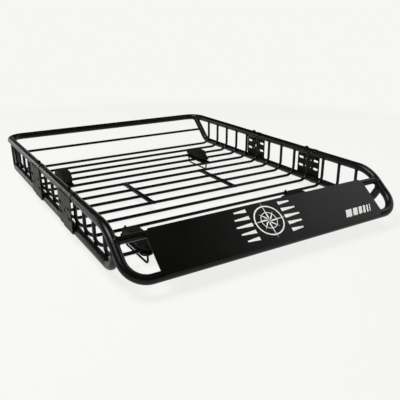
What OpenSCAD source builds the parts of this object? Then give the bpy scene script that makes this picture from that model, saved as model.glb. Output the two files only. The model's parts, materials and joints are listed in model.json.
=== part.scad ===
/* [Basket] */
// distance between the centres of the two side top rails
rail_span = 921; // [760:1:1100]
// distance from the centre of the back rail to the centre of the front rail
rail_length = 1246; // [1120:1:1400]
// height of the top rail's centre above the centre of the floor slats
rail_rise = 107.5; // [95:0.5:150]
// outer diameter of the rail tubes
rail_d = 26; // [22:0.5:30]
// bend radius at the back corners of the top rail
rear_corner_r = 60; // [45:1:80]
// bend radius at the front corners of the top rail
front_corner_r = 60; // [50:1:80]

/* [Front slope] */
// distance from the front rail back to where the top rail starts its slope
slope_run = 123; // [115:1:135]
// height of the front rail's centre above the centre of the floor slats
front_rail_rise = 8.5; // [4:0.5:16]
// radius of the soft bend that leads into the slope
slope_bend_r = 130; // [100:5:150]

/* [Lower rails] */
// outer diameter of the lower rail tubes
low_rail_d = 25; // [21:0.5:28]
// height of the lower rail's centre above the centre of the floor slats
low_rail_rise = 5; // [0:0.5:8]
// distance from the back rail's centre to the lower rail's rear bend
low_rear_run = 105; // [90:1:120]
// distance from the front rail's centre to the lower rail's front bend
low_front_run = 106; // [100:1:125]
// angle at which the front end of the lower rail climbs
low_front_angle = 60; // [50:1:75]
// bend radius of the lower rail
low_bend_r = 50; // [35:1:55]

/* [Floor slats] */
// diameter of the round slat bar
slat_d = 10.5; // [8:0.5:14]
// bend radius of a slat where it turns up into the side
slat_bend_r = 35; // [28:1:40]
// distance of the first slat in front of the back rail's centre
first_slat_run = 141.5; // [136:0.5:146]
// distance of the last slat behind the front rail's centre
last_slat_run = 168.5; // [162:0.5:180]
// distance of a slat's upright end inwards from the top rail's centre
upright_inset = 8.5; // [5:0.5:11]
// diameter of the lengthwise bars welded between the slats
stiffener_d = 10; // [8:0.5:12]
// distance of a lengthwise bar from the middle
stiffener_x = 163; // [120:1:200]

/* [Joint plates] */
// width of a joint plate along the rail
plate_w = 116; // [100:1:124]
// thickness of a joint plate
plate_t = 3; // [2:0.5:4]
// how far a plate hangs below the centre of the lower rail
plate_drop = 1; // [0:0.5:6]
// how much lower the front half of a plate reaches than the rear half
plate_jog = 4; // [2:0.5:8]
// distance from the plate's middle back to the step in its lower edge
jog_back = 25; // [15:1:35]
// length of a bolt slot
slot_len = 26; // [18:1:30]
// width of a bolt slot
slot_w = 9; // [7:0.5:11]
// distance from the plate's middle to the middle of a slot, along the rail
slot_dy = 40; // [34:1:42]
// distance from the plate's middle to the middle of a slot, up and down
slot_dz = 15.5; // [14:0.5:30]
// half width of the star shaped opening
star_half = 17; // [12:0.5:22]
// distance of the rear seam in front of the back rail's centre
rear_seam_run = 520; // [512:1:528]
// distance of the front seam in front of the back rail's centre
front_seam_run = 858; // [850:1:866]
// distance from the rear seam back to the middle of its plates
rear_plate_back = 27.5; // [20:0.5:36]
// distance from the front seam back to the middle of its plates
front_plate_back = 36; // [28:0.5:44]

/* [Wind fairing] */
// distance from a side rail's centre to the end of the fairing sheet
fairing_inset = 79.5; // [60:0.5:120]
// length of the fairing sheet down the slope
fairing_len = 132; // [120:1:140]
// distance down the slope to the upper edge of the fairing
fairing_start = 33; // [28:1:38]
// thickness of the fairing sheet
fairing_t = 2; // [1.5:0.5:3]
// size of the cut corners of the fairing sheet
fairing_corner = 12; // [6:1:20]
// diameter of the tube that carries the fairing's upper edge
support_d = 21; // [16:0.5:24]

/* [Crossbar clamps] */
// diameter of the U-bolt rod
ubolt_d = 6; // [5:0.5:8]
// distance between the two legs of a U-bolt
ubolt_span = 147; // [130:1:165]
// bend radius of the U-bolt
ubolt_bend_r = 11; // [9:1:16]
// width of the upper clamp bracket across the basket
bracket_w = 38; // [34:1:44]
// distance from a U-bolt leg to the foot of the upper bracket's raised middle
ear_run = 17.5; // [15:0.5:24]
// height of the raised middle of the upper bracket
bracket_h = 28; // [22:1:34]
// thickness of the bracket's metal
bracket_t = 3; // [2:0.5:4]
// width of the lower clamp plate across the basket
clamp_w = 36; // [30:1:42]
// distance from a U-bolt leg to the end of its clamp
clamp_end = 11; // [9:0.5:15]
// thickness of the lower clamp plate
clamp_t = 6; // [4:0.5:8]
// height of the slat centres above the ground when the basket stands on its U-bolts
floor_rise = 42; // [40:0.5:60]
// distance of the left clamps from the middle
left_clamp_x = 339; // [250:1:350]
// distance of the right clamps from the middle
right_clamp_x = 264; // [250:1:350]

/* [Hidden] */

round_fn = 48;
seat_gap = 0.05;
bend_step = 0.02;
bend_lap = 0.1;
cut_margin = 2;
top_x = rail_span / 2;
back_y = rail_length / 2;
front_y = -rail_length / 2;
slat_z = floor_rise;
top_z = slat_z + rail_rise;
low_z = slat_z + low_rail_rise;
front_z = slat_z + front_rail_rise;
upright_x = top_x - upright_inset;
slat_count = 13;
slat_pitch = (rail_length - first_slat_run - last_slat_run) / (slat_count - 1);
fairing_w = rail_span - 2 * fairing_inset;
slope_y = front_y + slope_run;
slope_angle = atan2(top_z - front_z, slope_run);

// the lower rail sits against the outside of the slat bends
touch_r = slat_bend_r + (low_rail_d + slat_d) / 2 + seat_gap;
low_x = upright_x - slat_bend_r + sqrt(pow(touch_r, 2) - pow(slat_z + slat_bend_r - low_z, 2));

rear_seam_y = back_y - rear_seam_run;
front_seam_y = back_y - front_seam_run;
rear_plate_y = rear_seam_y + rear_plate_back;
front_plate_y = front_seam_y + front_plate_back;
low_rear_y = back_y - low_rear_run;
low_front_y = front_y + low_front_run;

// the leaning post meets the top rail part way round its back corner
post_turn = 40;
post_top = [top_x - rear_corner_r * (1 - cos(post_turn)),
  back_y - rear_corner_r * (1 - sin(post_turn)), top_z];
post_foot = [low_x, low_rear_y, low_z];
mid_share = 0.475;
mid_rod = post_foot + (post_top - post_foot) * mid_share;

// where the climbing front end of the lower rail meets the slope
climb = tan(low_front_angle);
fall = tan(slope_angle);
climb_run = (top_z - low_z - (slope_y - low_front_y) * fall) / (climb + fall);
climb_top = [top_x, low_front_y - climb_run, low_z + climb_run * climb];

support_share = 0.27;
support_lift = (rail_d - support_d) / 2;
support_y = slope_y - slope_run * support_share - support_lift * sin(slope_angle);
support_z = top_z - (top_z - front_z) * support_share + support_lift * cos(slope_angle);

function slat_y(i) = back_y - first_slat_run - (i - 1) * slat_pitch;
function unit(v) = v / norm(v);
function turn_at(a, b, c) = acos(unit(b - a) * unit(c - b));
function setback(p, r, i) =
  (i == 0 || i == len(p) - 1) ? 0 : r[i] * tan(turn_at(p[i - 1], p[i], p[i + 1]) / 2);

rear_path = [[-top_x, rear_seam_y, top_z], [-top_x, back_y, top_z],
  [top_x, back_y, top_z], [top_x, rear_seam_y, top_z]];
rear_radii = [0, rear_corner_r, rear_corner_r, 0];
front_path = [[-top_x, front_seam_y, top_z], [-top_x, slope_y, top_z], [-top_x, front_y, front_z],
  [top_x, front_y, front_z], [top_x, slope_y, top_z], [top_x, front_seam_y, top_z]];
front_radii = [0, slope_bend_r, front_corner_r, front_corner_r, slope_bend_r, 0];

module straight_bar(from, to, d) {
  run = to - from;
  translate(from)
    rotate([0, acos(run.z / norm(run)), atan2(run.y, run.x)])
      cylinder(h = norm(run), d = d, $fn = round_fn);
}

module bar_bend(a, b, c, r, d) {
  way_in = unit(b - a);
  turn = turn_at(a, b, c);
  axis = unit(cross(way_in, unit(c - b)));
  inward = cross(axis, way_in);
  centre = b - way_in * r * tan(turn / 2) + inward * r;
  multmatrix([[-inward.x, way_in.x, axis.x, centre.x],
    [-inward.y, way_in.y, axis.y, centre.y],
    [-inward.z, way_in.z, axis.z, centre.z],
    [0, 0, 0, 1]])
    rotate_extrude(angle = turn, $fn = round_fn)
      translate([r, 0])
        circle(d = d - 2 * bend_step, $fn = round_fn);
}

// a round bar or tube bent along a list of corner points, one radius for each corner
module bent_bar(p, r, d) {
  for (i = [0 : len(p) - 2]) {
    way = unit(p[i + 1] - p[i]);
    straight_bar(p[i] + way * (setback(p, r, i) - (i > 0 ? bend_lap : 0)),
      p[i + 1] - way * (setback(p, r, i + 1) - (i < len(p) - 2 ? bend_lap : 0)), d);
  }
  for (i = [1 : len(p) - 2])
    bar_bend(p[i - 1], p[i], p[i + 1], r[i], d);
}

module on_left() {
  mirror([1, 0, 0])
    children();
}

module rear_top_rail() {
  color("#1b1b1b") bent_bar(rear_path, rear_radii, rail_d);
}

module right_middle_top_rail() {
  color("#1b1b1b")
    straight_bar([top_x, front_seam_y, top_z], [top_x, rear_seam_y, top_z], rail_d);
}

module left_middle_top_rail() {
  on_left() right_middle_top_rail();
}

module front_top_rail() {
  color("#1b1b1b") bent_bar(front_path, front_radii, rail_d);
}

module right_rear_lower_rail() {
  color("#1b1b1b")
    difference() {
      bent_bar([[low_x, rear_seam_y, low_z], post_foot, post_top], [0, low_bend_r, 0], low_rail_d);
      bar_bend(rear_path[3], rear_path[2], rear_path[1], rear_corner_r, rail_d + 2 * seat_gap);
    }
}

module left_rear_lower_rail() {
  on_left() right_rear_lower_rail();
}

module right_middle_lower_rail() {
  color("#1b1b1b")
    straight_bar([low_x, front_seam_y, low_z], [low_x, rear_seam_y, low_z], low_rail_d);
}

module left_middle_lower_rail() {
  on_left() right_middle_lower_rail();
}

module right_front_lower_rail() {
  color("#1b1b1b")
    difference() {
      bent_bar([[low_x, front_seam_y, low_z], [low_x, low_front_y, low_z], climb_top],
        [0, low_bend_r, 0], low_rail_d);
      straight_bar(front_path[4], front_path[3], rail_d + 2 * seat_gap);
    }
}

module left_front_lower_rail() {
  on_left() right_front_lower_rail();
}

module slat(i) {
  y = slat_y(i);
  color("#202020")
    difference() {
      bent_bar([[-upright_x, y, top_z], [-upright_x, y, slat_z],
        [upright_x, y, slat_z], [upright_x, y, top_z]],
        [0, slat_bend_r, slat_bend_r, 0], slat_d);
      for (side = [-1, 1])
        side_rail_cut(side, y);
    }
}

// the stretch of the side top rail that a slat's end is shaped to
module side_rail_cut(side, y) {
  cut_d = rail_d + 2 * seat_gap;
  if (y > slope_y + slope_bend_r * tan(slope_angle / 2) + slat_d)
    straight_bar([side * top_x, y - rail_d, top_z], [side * top_x, y + rail_d, top_z], cut_d);
  else
    bar_bend([side * top_x, y + slope_run, top_z], [side * top_x, slope_y, top_z],
      [side * top_x, front_y, front_z], slope_bend_r, cut_d + 2 * bend_step);
}

module back_middle_rod() {
  color("#202020")
    difference() {
      straight_bar([-mid_rod.x, mid_rod.y, mid_rod.z], mid_rod, slat_d);
      for (side = [-1, 1])
        straight_bar([side * post_foot.x, post_foot.y, post_foot.z],
          [side * post_top.x, post_top.y, post_top.z], low_rail_d + 2 * seat_gap);
    }
}

module fairing_support_tube() {
  color("#1b1b1b")
    difference() {
      straight_bar([-top_x, support_y, support_z], [top_x, support_y, support_z], support_d);
      for (side = [-1, 1])
        straight_bar([side * top_x, slope_y, top_z], [side * top_x, front_y, front_z],
          rail_d + 2 * seat_gap);
    }
}

module fairing_outline() {
  hw = fairing_w / 2;
  hl = fairing_len / 2;
  c = fairing_corner;
  polygon([[-hw + c, -hl], [hw - c, -hl], [hw, -hl + c], [hw, hl - c],
    [hw - c, hl], [-hw + c, hl], [-hw, hl - c], [-hw, -hl + c]]);
}

module fairing_panel() {
  down = fairing_start + fairing_len / 2;
  color("#161616")
    translate([0, slope_y - down * cos(slope_angle), top_z - down * sin(slope_angle)])
      rotate([slope_angle, 0, 0])
        translate([0, 0, rail_d / 2 + seat_gap])
          linear_extrude(height = fairing_t)
            fairing_outline();
}

plate_fall = [low_x - top_x, low_z - top_z];
plate_tilt = atan2(plate_fall[0], -plate_fall[1]);
plate_top = norm(plate_fall);
plate_h = plate_top + plate_drop;
star_bite = 0.72;

module plate_outline() {
  difference() {
    polygon([[-plate_w / 2, 0], [-plate_w / 2, -plate_h - plate_jog],
      [jog_back - plate_jog / 2, -plate_h - plate_jog], [jog_back + plate_jog / 2, -plate_h],
      [plate_w / 2, -plate_h], [plate_w / 2, 0]]);
    for (sy = [-1, 1])
      for (sz = [-1, 1])
        translate([sy * slot_dy, sz * slot_dz - plate_h / 2])
          slot_outline();
    translate([0, -plate_h / 2])
      star_outline();
  }
}

module slot_outline() {
  reach = (slot_len - slot_w) / 2;
  square([2 * reach, slot_w], center = true);
  for (s = [-1, 1])
    translate([s * reach, 0])
      circle(d = slot_w, $fn = round_fn);
}

module star_outline() {
  bite = star_half * star_bite;
  difference() {
    square(2 * star_half, center = true);
    for (a = [0 : 90 : 270])
      rotate(a)
        translate([star_half, 0])
          circle(r = bite, $fn = round_fn);
  }
}

module right_joint_plate(y) {
  color("#4a4a48")
    translate([top_x, y, top_z])
      rotate([0, -plate_tilt, 0])
        translate([rail_d / 2 + seat_gap, 0, 0])
          rotate([90, 0, 90])
            linear_extrude(height = plate_t)
              plate_outline();
}

// three short bars in one line, each let in between two slats
module floor_stiffener(side) {
  x = side * stiffener_x;
  color("#202020")
    for (i = [6 : 8])
      difference() {
        straight_bar([x, slat_y(i + 1), slat_z], [x, slat_y(i), slat_z], stiffener_d);
        for (k = [i, i + 1])
          straight_bar([x - stiffener_d, slat_y(k), slat_z], [x + stiffener_d, slat_y(k), slat_z],
            slat_d + 2 * seat_gap);
      }
}

bracket_z = slat_z + slat_d / 2 + seat_gap;
clamp_z = slat_z - slat_d / 2 - seat_gap - clamp_t;

// each U-bolt holds two slats, and its legs stay clear of them
leg_gap = 1;
leg_clear = (slat_d + ubolt_d) / 2 + leg_gap;
rear_leg_run = max(28, ubolt_span - 2 * slat_pitch + leg_clear);
front_leg_run = min(-leg_clear, 2 * slat_pitch - leg_clear - ubolt_span);
rear_clamp_y = slat_y(3) + rear_leg_run - ubolt_span / 2;
front_clamp_y = slat_y(13) + front_leg_run + ubolt_span / 2;
hole_gap = 1;
nut_h = 5;
nut_wall = 2;
nut_af = ubolt_d + 2 * nut_wall;
thread_out = 6;
bracket_slant = 24;
ear_r = 11;
rise_half = ubolt_span / 2 - ear_run;

// side view of the upper bracket, two flat ears and a raised middle
module bracket_side() {
  e = ubolt_span / 2 + clamp_end;
  m = rise_half;
  k = m - bracket_slant;
  t = bracket_t;
  polygon([[-e, 0], [-m + t, 0], [-k + t, bracket_h - t], [k - t, bracket_h - t], [m - t, 0], [e, 0],
    [e, t], [m, t], [k, bracket_h], [-k, bracket_h], [-m, t], [-e, t]]);
}

// the walls under the raised middle stand on the slats
module bracket_wall() {
  m = rise_half;
  k = m - bracket_slant;
  polygon([[-m, 0], [m, 0], [m, bracket_t], [k, bracket_h], [-k, bracket_h], [-m, bracket_t]]);
}

// the bracket seen from above, full width in the middle and drawn in to round ends at the legs
module bracket_outline() {
  leg = ubolt_span / 2;
  square([bracket_w, 2 * rise_half], center = true);
  for (s = [-1, 1]) {
    translate([0, s * (leg + clamp_end - ear_r)])
      circle(r = ear_r, $fn = round_fn);
    polygon([[-bracket_w / 2, s * rise_half], [bracket_w / 2, s * rise_half],
      [ear_r, s * (leg + clamp_end - ear_r)], [-ear_r, s * (leg + clamp_end - ear_r)]]);
  }
}

module along_basket(w) {
  rotate([90, 0, 90])
    translate([0, 0, -w / 2])
      linear_extrude(height = w)
        children();
}

module clamp_bracket(x, y) {
  color("#2a2a2a")
    translate([x, y, bracket_z])
      difference() {
        union() {
          intersection() {
            along_basket(bracket_w) bracket_side();
            translate([0, 0, -cut_margin])
              linear_extrude(height = bracket_h + 2 * cut_margin)
                bracket_outline();
          }
          for (s = [-1, 1])
            translate([s * (bracket_w - bracket_t) / 2, 0, 0])
              along_basket(bracket_t) bracket_wall();
        }
        for (s = [-1, 1])
          translate([0, s * ubolt_span / 2, -cut_margin])
            cylinder(h = bracket_t + 2 * cut_margin, d = ubolt_d + hole_gap, $fn = round_fn);
      }
}

module clamp_plate(x, y) {
  run = ubolt_span / 2 + clamp_end - clamp_w / 2;
  color("#2a2a2a")
    translate([x, y, clamp_z])
      linear_extrude(height = clamp_t)
        difference() {
          union() {
            square([clamp_w, 2 * run], center = true);
            for (s = [-1, 1])
              translate([0, s * run])
                circle(d = clamp_w, $fn = round_fn);
          }
          for (s = [-1, 1])
            translate([0, s * ubolt_span / 2])
              circle(d = ubolt_d + hole_gap, $fn = round_fn);
        }
}

module u_bolt(x, y) {
  top = bracket_z + bracket_t + nut_h + thread_out;
  low = ubolt_d / 2;
  color("#3a3a3a")
    bent_bar([[x, y - ubolt_span / 2, top], [x, y - ubolt_span / 2, low],
      [x, y + ubolt_span / 2, low], [x, y + ubolt_span / 2, top]],
      [0, ubolt_bend_r, ubolt_bend_r, 0], ubolt_d);
}

module clamp_nuts(x, y) {
  color("#3a3a3a")
    for (s = [-1, 1])
      translate([x, y + s * ubolt_span / 2, bracket_z + bracket_t])
        difference() {
          cylinder(h = nut_h, d = nut_af / cos(30), $fn = 6);
          translate([0, 0, -cut_margin])
            cylinder(h = nut_h + 2 * cut_margin, d = ubolt_d + seat_gap, $fn = round_fn);
        }
}

rear_top_rail();
left_middle_top_rail();
right_middle_top_rail();
front_top_rail();
left_rear_lower_rail();
right_rear_lower_rail();
left_middle_lower_rail();
right_middle_lower_rail();
left_front_lower_rail();
right_front_lower_rail();
slat(1);  // slat_01
slat(2);  // slat_02
slat(3);  // slat_03
slat(4);  // slat_04
slat(5);  // slat_05
slat(6);  // slat_06
slat(7);  // slat_07
slat(8);  // slat_08
slat(9);  // slat_09
slat(10);  // slat_10
slat(11);  // slat_11
slat(12);  // slat_12
slat(13);  // slat_13
back_middle_rod();
fairing_support_tube();
fairing_panel();
on_left() right_joint_plate(rear_plate_y);  // left_rear_joint_plate
right_joint_plate(rear_plate_y);  // right_rear_joint_plate
on_left() right_joint_plate(front_plate_y);  // left_front_joint_plate
right_joint_plate(front_plate_y);  // right_front_joint_plate
floor_stiffener(-1);  // left_floor_stiffener
floor_stiffener(1);  // right_floor_stiffener
clamp_bracket(-left_clamp_x, rear_clamp_y);  // rear_left_clamp_bracket
clamp_bracket(right_clamp_x, rear_clamp_y);  // rear_right_clamp_bracket
clamp_bracket(-left_clamp_x, front_clamp_y);  // front_left_clamp_bracket
clamp_bracket(right_clamp_x, front_clamp_y);  // front_right_clamp_bracket
clamp_plate(-left_clamp_x, rear_clamp_y);  // rear_left_clamp_plate
clamp_plate(right_clamp_x, rear_clamp_y);  // rear_right_clamp_plate
clamp_plate(-left_clamp_x, front_clamp_y);  // front_left_clamp_plate
clamp_plate(right_clamp_x, front_clamp_y);  // front_right_clamp_plate
u_bolt(-left_clamp_x, rear_clamp_y);  // rear_left_u_bolt
u_bolt(right_clamp_x, rear_clamp_y);  // rear_right_u_bolt
u_bolt(-left_clamp_x, front_clamp_y);  // front_left_u_bolt
u_bolt(right_clamp_x, front_clamp_y);  // front_right_u_bolt
clamp_nuts(-left_clamp_x, rear_clamp_y);  // rear_left_clamp_nuts
clamp_nuts(right_clamp_x, rear_clamp_y);  // rear_right_clamp_nuts
clamp_nuts(-left_clamp_x, front_clamp_y);  // front_left_clamp_nuts
clamp_nuts(right_clamp_x, front_clamp_y);  // front_right_clamp_nuts
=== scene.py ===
import json
import math

import bmesh
import bpy
import numpy as np
from mathutils import Matrix, Vector


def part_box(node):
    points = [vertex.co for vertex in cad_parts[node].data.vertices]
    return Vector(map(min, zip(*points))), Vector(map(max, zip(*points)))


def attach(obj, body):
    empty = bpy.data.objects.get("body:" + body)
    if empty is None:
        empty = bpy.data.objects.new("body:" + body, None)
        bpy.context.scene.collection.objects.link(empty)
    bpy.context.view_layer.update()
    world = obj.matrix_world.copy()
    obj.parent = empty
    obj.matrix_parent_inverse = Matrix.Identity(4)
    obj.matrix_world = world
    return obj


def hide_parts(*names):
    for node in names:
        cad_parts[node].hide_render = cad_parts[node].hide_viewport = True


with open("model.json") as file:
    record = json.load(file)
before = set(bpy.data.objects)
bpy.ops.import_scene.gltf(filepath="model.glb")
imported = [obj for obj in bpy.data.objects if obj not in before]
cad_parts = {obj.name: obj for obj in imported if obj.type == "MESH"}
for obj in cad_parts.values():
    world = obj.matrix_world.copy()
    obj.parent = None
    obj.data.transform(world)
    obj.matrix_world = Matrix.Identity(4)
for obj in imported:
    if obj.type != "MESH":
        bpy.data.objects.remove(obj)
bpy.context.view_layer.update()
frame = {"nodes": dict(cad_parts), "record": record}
nodes = frame["nodes"]
mm = 0.001  # sizes below are in millimetres, Blender's are in metres
print("frame loaded,", len(nodes), "nodes")


def linearColour(hexText):
    # sRGB hex to the linear values that a shader takes: v / 12.92 near black,
    # otherwise ((v + 0.055) / 1.055) to the power 2.4
    parts = [int(hexText[i:i + 2], 16) / 255 for i in (1, 3, 5)]
    return [p / 12.92 if p <= 0.04045 else ((p + 0.055) / 1.055) ** 2.4 for p in parts] + [1.0]


def addNode(tree, kind, sockets=None, **settings):
    # one node with its settings; a socket is given a value or another node's output
    node = tree.nodes.new(kind)
    for name, value in settings.items():
        setattr(node, name, value)
    for name, value in (sockets or {}).items():
        if isinstance(value, bpy.types.NodeSocket):
            tree.links.new(value, node.inputs[name])
        else:
            node.inputs[name].default_value = value
    return node


def perMetre(sizeMm):
    # texture scale that gives features of this size: 1 / (size in metres)
    return 1.0 / (sizeMm * mm)


cameraSetup = {
    "place": (-844.2, -1565.4, 629.3),  # mm
    "turn": 31.297,  # degrees from +Y towards +X
    "dip": 20.234,  # degrees below the horizon
    "roll": -0.117,  # degrees
    "lens": 44.91,  # mm
    "sensor": 36,  # mm
}


def makeCamera(setup):
    # looks along +Y, then is turned about Z, dipped and rolled: place x turn x dip x roll
    data = bpy.data.cameras.new("photoCamera")
    data.lens = setup["lens"]
    data.sensor_width = setup["sensor"]
    camera = bpy.data.objects.new("photoCamera", data)
    bpy.context.scene.collection.objects.link(camera)
    turn = Matrix.Rotation(math.radians(-setup["turn"]), 4, "Z")
    dip = Matrix.Rotation(math.radians(90 - setup["dip"]), 4, "X")
    roll = Matrix.Rotation(math.radians(setup["roll"]), 4, "Z")
    camera.matrix_world = Matrix.Translation(Vector(setup["place"]) * mm) @ turn @ dip @ roll
    bpy.context.scene.camera = camera
    bpy.context.scene.view_settings.view_transform = "Standard"


makeCamera(cameraSetup)
print("camera placed")

studio = {
    "paper": "#f6f6f4",
    "floorSize": 60000,  # mm
    "skyLow": 1.0,  # brightness at the horizon
    "skyHigh": 0.0,  # brightness overhead, a dark ceiling for the coats to show
    "skyFade": (0.03, 0.24),  # sine of the height over which the one goes over into the other
    "fade": (900, 2300),  # mm from the middle, where the lit floor goes over into plain paper
    "nearPaper": 0.90,  # share of plain paper in the lit floor, as the camera and the gloss see it
}
# places, aims and sizes in mm, power in watts: the key light from high on the left, a small lamp low down
# behind and a wide soft one from the right
lamps = [
    {"name": "keyTop", "at": (-1560, 0, 3290), "aim": (0, 0, 100),
     "size": (2000, 1400), "power": 150},
    {"name": "leftStrip", "at": (-1500, 2900, 700), "aim": (-300, 0, 100),
     "size": (800, 800), "power": 7},
    {"name": "rightPanel", "at": (2500, -400, 1700), "aim": (250, -500, 100),
     "size": (2400, 2400), "power": 22},
]


def anyRay(tree, kinds):
    # 1 for a ray of any of these kinds: the largest of their Light Path outputs
    path = addNode(tree, "ShaderNodeLightPath")
    held = path.outputs[kinds[0]]
    for kind in kinds[1:]:
        held = addNode(tree, "ShaderNodeMath", {
            0: held, 1: path.outputs[kind]}, operation="MAXIMUM").outputs["Value"]
    return held


def makeSky():
    # pale paper for the camera; the object is lit, and mirrored, by a ring of it round the horizon
    world = bpy.data.worlds.new("paperSky")
    bpy.context.scene.world = world
    world.use_nodes = True
    tree = world.node_tree
    tree.nodes.clear()
    place = addNode(tree, "ShaderNodeTexCoord")
    split = addNode(tree, "ShaderNodeSeparateXYZ", {"Vector": place.outputs["Generated"]})
    low, high = studio["skyFade"]
    share = addNode(tree, "ShaderNodeMapRange", {
        "Value": split.outputs["Z"], "From Min": low, "From Max": high,
        "To Min": studio["skyLow"], "To Max": studio["skyHigh"]}, interpolation_type="SMOOTHSTEP")
    direct = anyRay(tree, ("Is Camera Ray", "Is Transmission Ray"))
    seen = addNode(tree, "ShaderNodeMath", {
        0: share.outputs["Result"], 1: direct}, operation="MAXIMUM")
    back = addNode(tree, "ShaderNodeBackground", {
        "Color": linearColour(studio["paper"]), "Strength": seen.outputs["Value"]})
    addNode(tree, "ShaderNodeOutputWorld", {"Surface": back.outputs["Background"]})


def makeFloor():
    # seamless paper: lit near the object, where it takes the shadow, and evenly pale further off
    half = studio["floorSize"] * mm / 2
    corners = [(-half, -half, 0), (half, -half, 0), (half, half, 0), (-half, half, 0)]
    mesh = bpy.data.meshes.new("studioFloor")
    mesh.from_pydata(corners, [], [(0, 1, 2, 3)])
    floor = bpy.data.objects.new("studioFloor", mesh)
    bpy.context.scene.collection.objects.link(floor)
    material = bpy.data.materials.new("seamlessPaper")
    material.use_nodes = True
    tree = material.node_tree
    tree.nodes.clear()
    place = addNode(tree, "ShaderNodeTexCoord")
    reach = addNode(tree, "ShaderNodeVectorMath", {0: place.outputs["Object"]}, operation="LENGTH")
    start, end = studio["fade"]
    far = addNode(tree, "ShaderNodeMapRange", {
        "Value": reach.outputs["Value"], "From Min": start * mm, "From Max": end * mm,
        "To Min": 0.0, "To Max": 1.0}, interpolation_type="SMOOTHSTEP")
    seen = anyRay(tree, ("Is Camera Ray", "Is Transmission Ray", "Is Glossy Ray"))
    near = addNode(tree, "ShaderNodeMath", {0: seen, 1: studio["nearPaper"]}, operation="MULTIPLY")
    share = addNode(tree, "ShaderNodeMath", {
        0: near.outputs["Value"], 1: far.outputs["Result"]}, operation="MAXIMUM")
    paper = linearColour(studio["paper"])
    lit = addNode(tree, "ShaderNodeBsdfDiffuse", {"Color": paper})
    plain = addNode(tree, "ShaderNodeEmission", {"Color": paper, "Strength": 1.0})
    mixed = addNode(tree, "ShaderNodeMixShader", {
        0: share.outputs["Value"], 1: lit.outputs["BSDF"], 2: plain.outputs["Emission"]})
    addNode(tree, "ShaderNodeOutputMaterial", {"Surface": mixed.outputs["Shader"]})
    mesh.materials.append(material)


def makeLamps():
    # rectangles that face their aim: the way from place to aim becomes the lamp's -Z
    for lamp in lamps:
        data = bpy.data.lights.new(lamp["name"], "AREA")
        data.shape = "RECTANGLE"
        data.size, data.size_y = (side * mm for side in lamp["size"])
        data.energy = lamp["power"]
        holder = bpy.data.objects.new(lamp["name"], data)
        bpy.context.scene.collection.objects.link(holder)
        place = Vector(lamp["at"]) * mm
        aim = Vector(lamp["aim"]) * mm - place
        turn = aim.to_track_quat("-Z", "Y").to_matrix().to_4x4()
        holder.matrix_world = Matrix.Translation(place) @ turn


makeSky()
makeFloor()
makeLamps()
print("studio lit")


noiseSpan = (0.7, 1.3)  # what two noises add up to, between which the gloss goes over its range
edgeSpan = (0.99, 0.80)  # cosine of the turn between rounded and plain normal, from face to worn edge


def makeCoat(name, look):
    # colour = dark + patches x (light - dark), and the gloss goes over its range with patches + peel; where
    # a depth is given the surface rises with peel + grit, and where an edge is given the coat has drawn
    # thin there and shows the worn colour
    material = bpy.data.materials.new(name)
    material.use_nodes = True
    tree = material.node_tree
    tree.nodes.clear()
    place = addNode(tree, "ShaderNodeTexCoord").outputs["Object"]
    patches = addNode(tree, "ShaderNodeTexNoise", {
        "Vector": place, "Scale": perMetre(look["patch"]), "Detail": 3.0, "Roughness": 0.55})
    peel = addNode(tree, "ShaderNodeTexNoise", {
        "Vector": place, "Scale": perMetre(look["peel"]), "Detail": 2.0, "Roughness": 0.5})
    colour = addNode(tree, "ShaderNodeMix", {
        "Factor": patches.outputs["Fac"],
        "A": linearColour(look["dark"]), "B": linearColour(look["light"])},
        data_type="RGBA").outputs["Result"]
    uneven = addNode(tree, "ShaderNodeMath", {
        0: patches.outputs["Fac"], 1: peel.outputs["Fac"]}, operation="ADD")
    gloss = addNode(tree, "ShaderNodeMapRange", {
        "Value": uneven.outputs["Value"], "From Min": noiseSpan[0], "From Max": noiseSpan[1],
        "To Min": look["rough"][0], "To Max": look["rough"][1]})
    sockets = {"Roughness": gloss.outputs["Result"], "IOR": look["ior"], "Metallic": 0.0}
    if "depth" in look:
        grit = addNode(tree, "ShaderNodeTexNoise", {
            "Vector": place, "Scale": perMetre(look["grit"]), "Detail": 1.0, "Roughness": 0.6})
        height = addNode(tree, "ShaderNodeMath", {
            0: peel.outputs["Fac"], 1: grit.outputs["Fac"]}, operation="ADD")
        bump = addNode(tree, "ShaderNodeBump", {
            "Height": height.outputs["Value"], "Distance": look["depth"] * mm, "Strength": 1.0})
        sockets["Normal"] = bump.outputs["Normal"]
    if "edge" in look:
        rounded = addNode(tree, "ShaderNodeBevel", {"Radius": look["edge"] * mm}, samples=6)
        tree.links.new(rounded.outputs["Normal"], bump.inputs["Normal"])
        flat = addNode(tree, "ShaderNodeNewGeometry")
        same = addNode(tree, "ShaderNodeVectorMath", {
            0: rounded.outputs["Normal"], 1: flat.outputs["Normal"]}, operation="DOT_PRODUCT")
        worn = addNode(tree, "ShaderNodeMapRange", {
            "Value": same.outputs["Value"], "From Min": edgeSpan[0], "From Max": edgeSpan[1],
            "To Min": 0.0, "To Max": 1.0})
        colour = addNode(tree, "ShaderNodeMix", {
            "Factor": worn.outputs["Result"], "A": colour, "B": linearColour(look["worn"])},
            data_type="RGBA").outputs["Result"]
    sockets["Base Color"] = colour
    shader = addNode(tree, "ShaderNodeBsdfPrincipled", sockets)
    addNode(tree, "ShaderNodeOutputMaterial", {"Surface": shader.outputs["BSDF"]})
    return material


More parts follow.
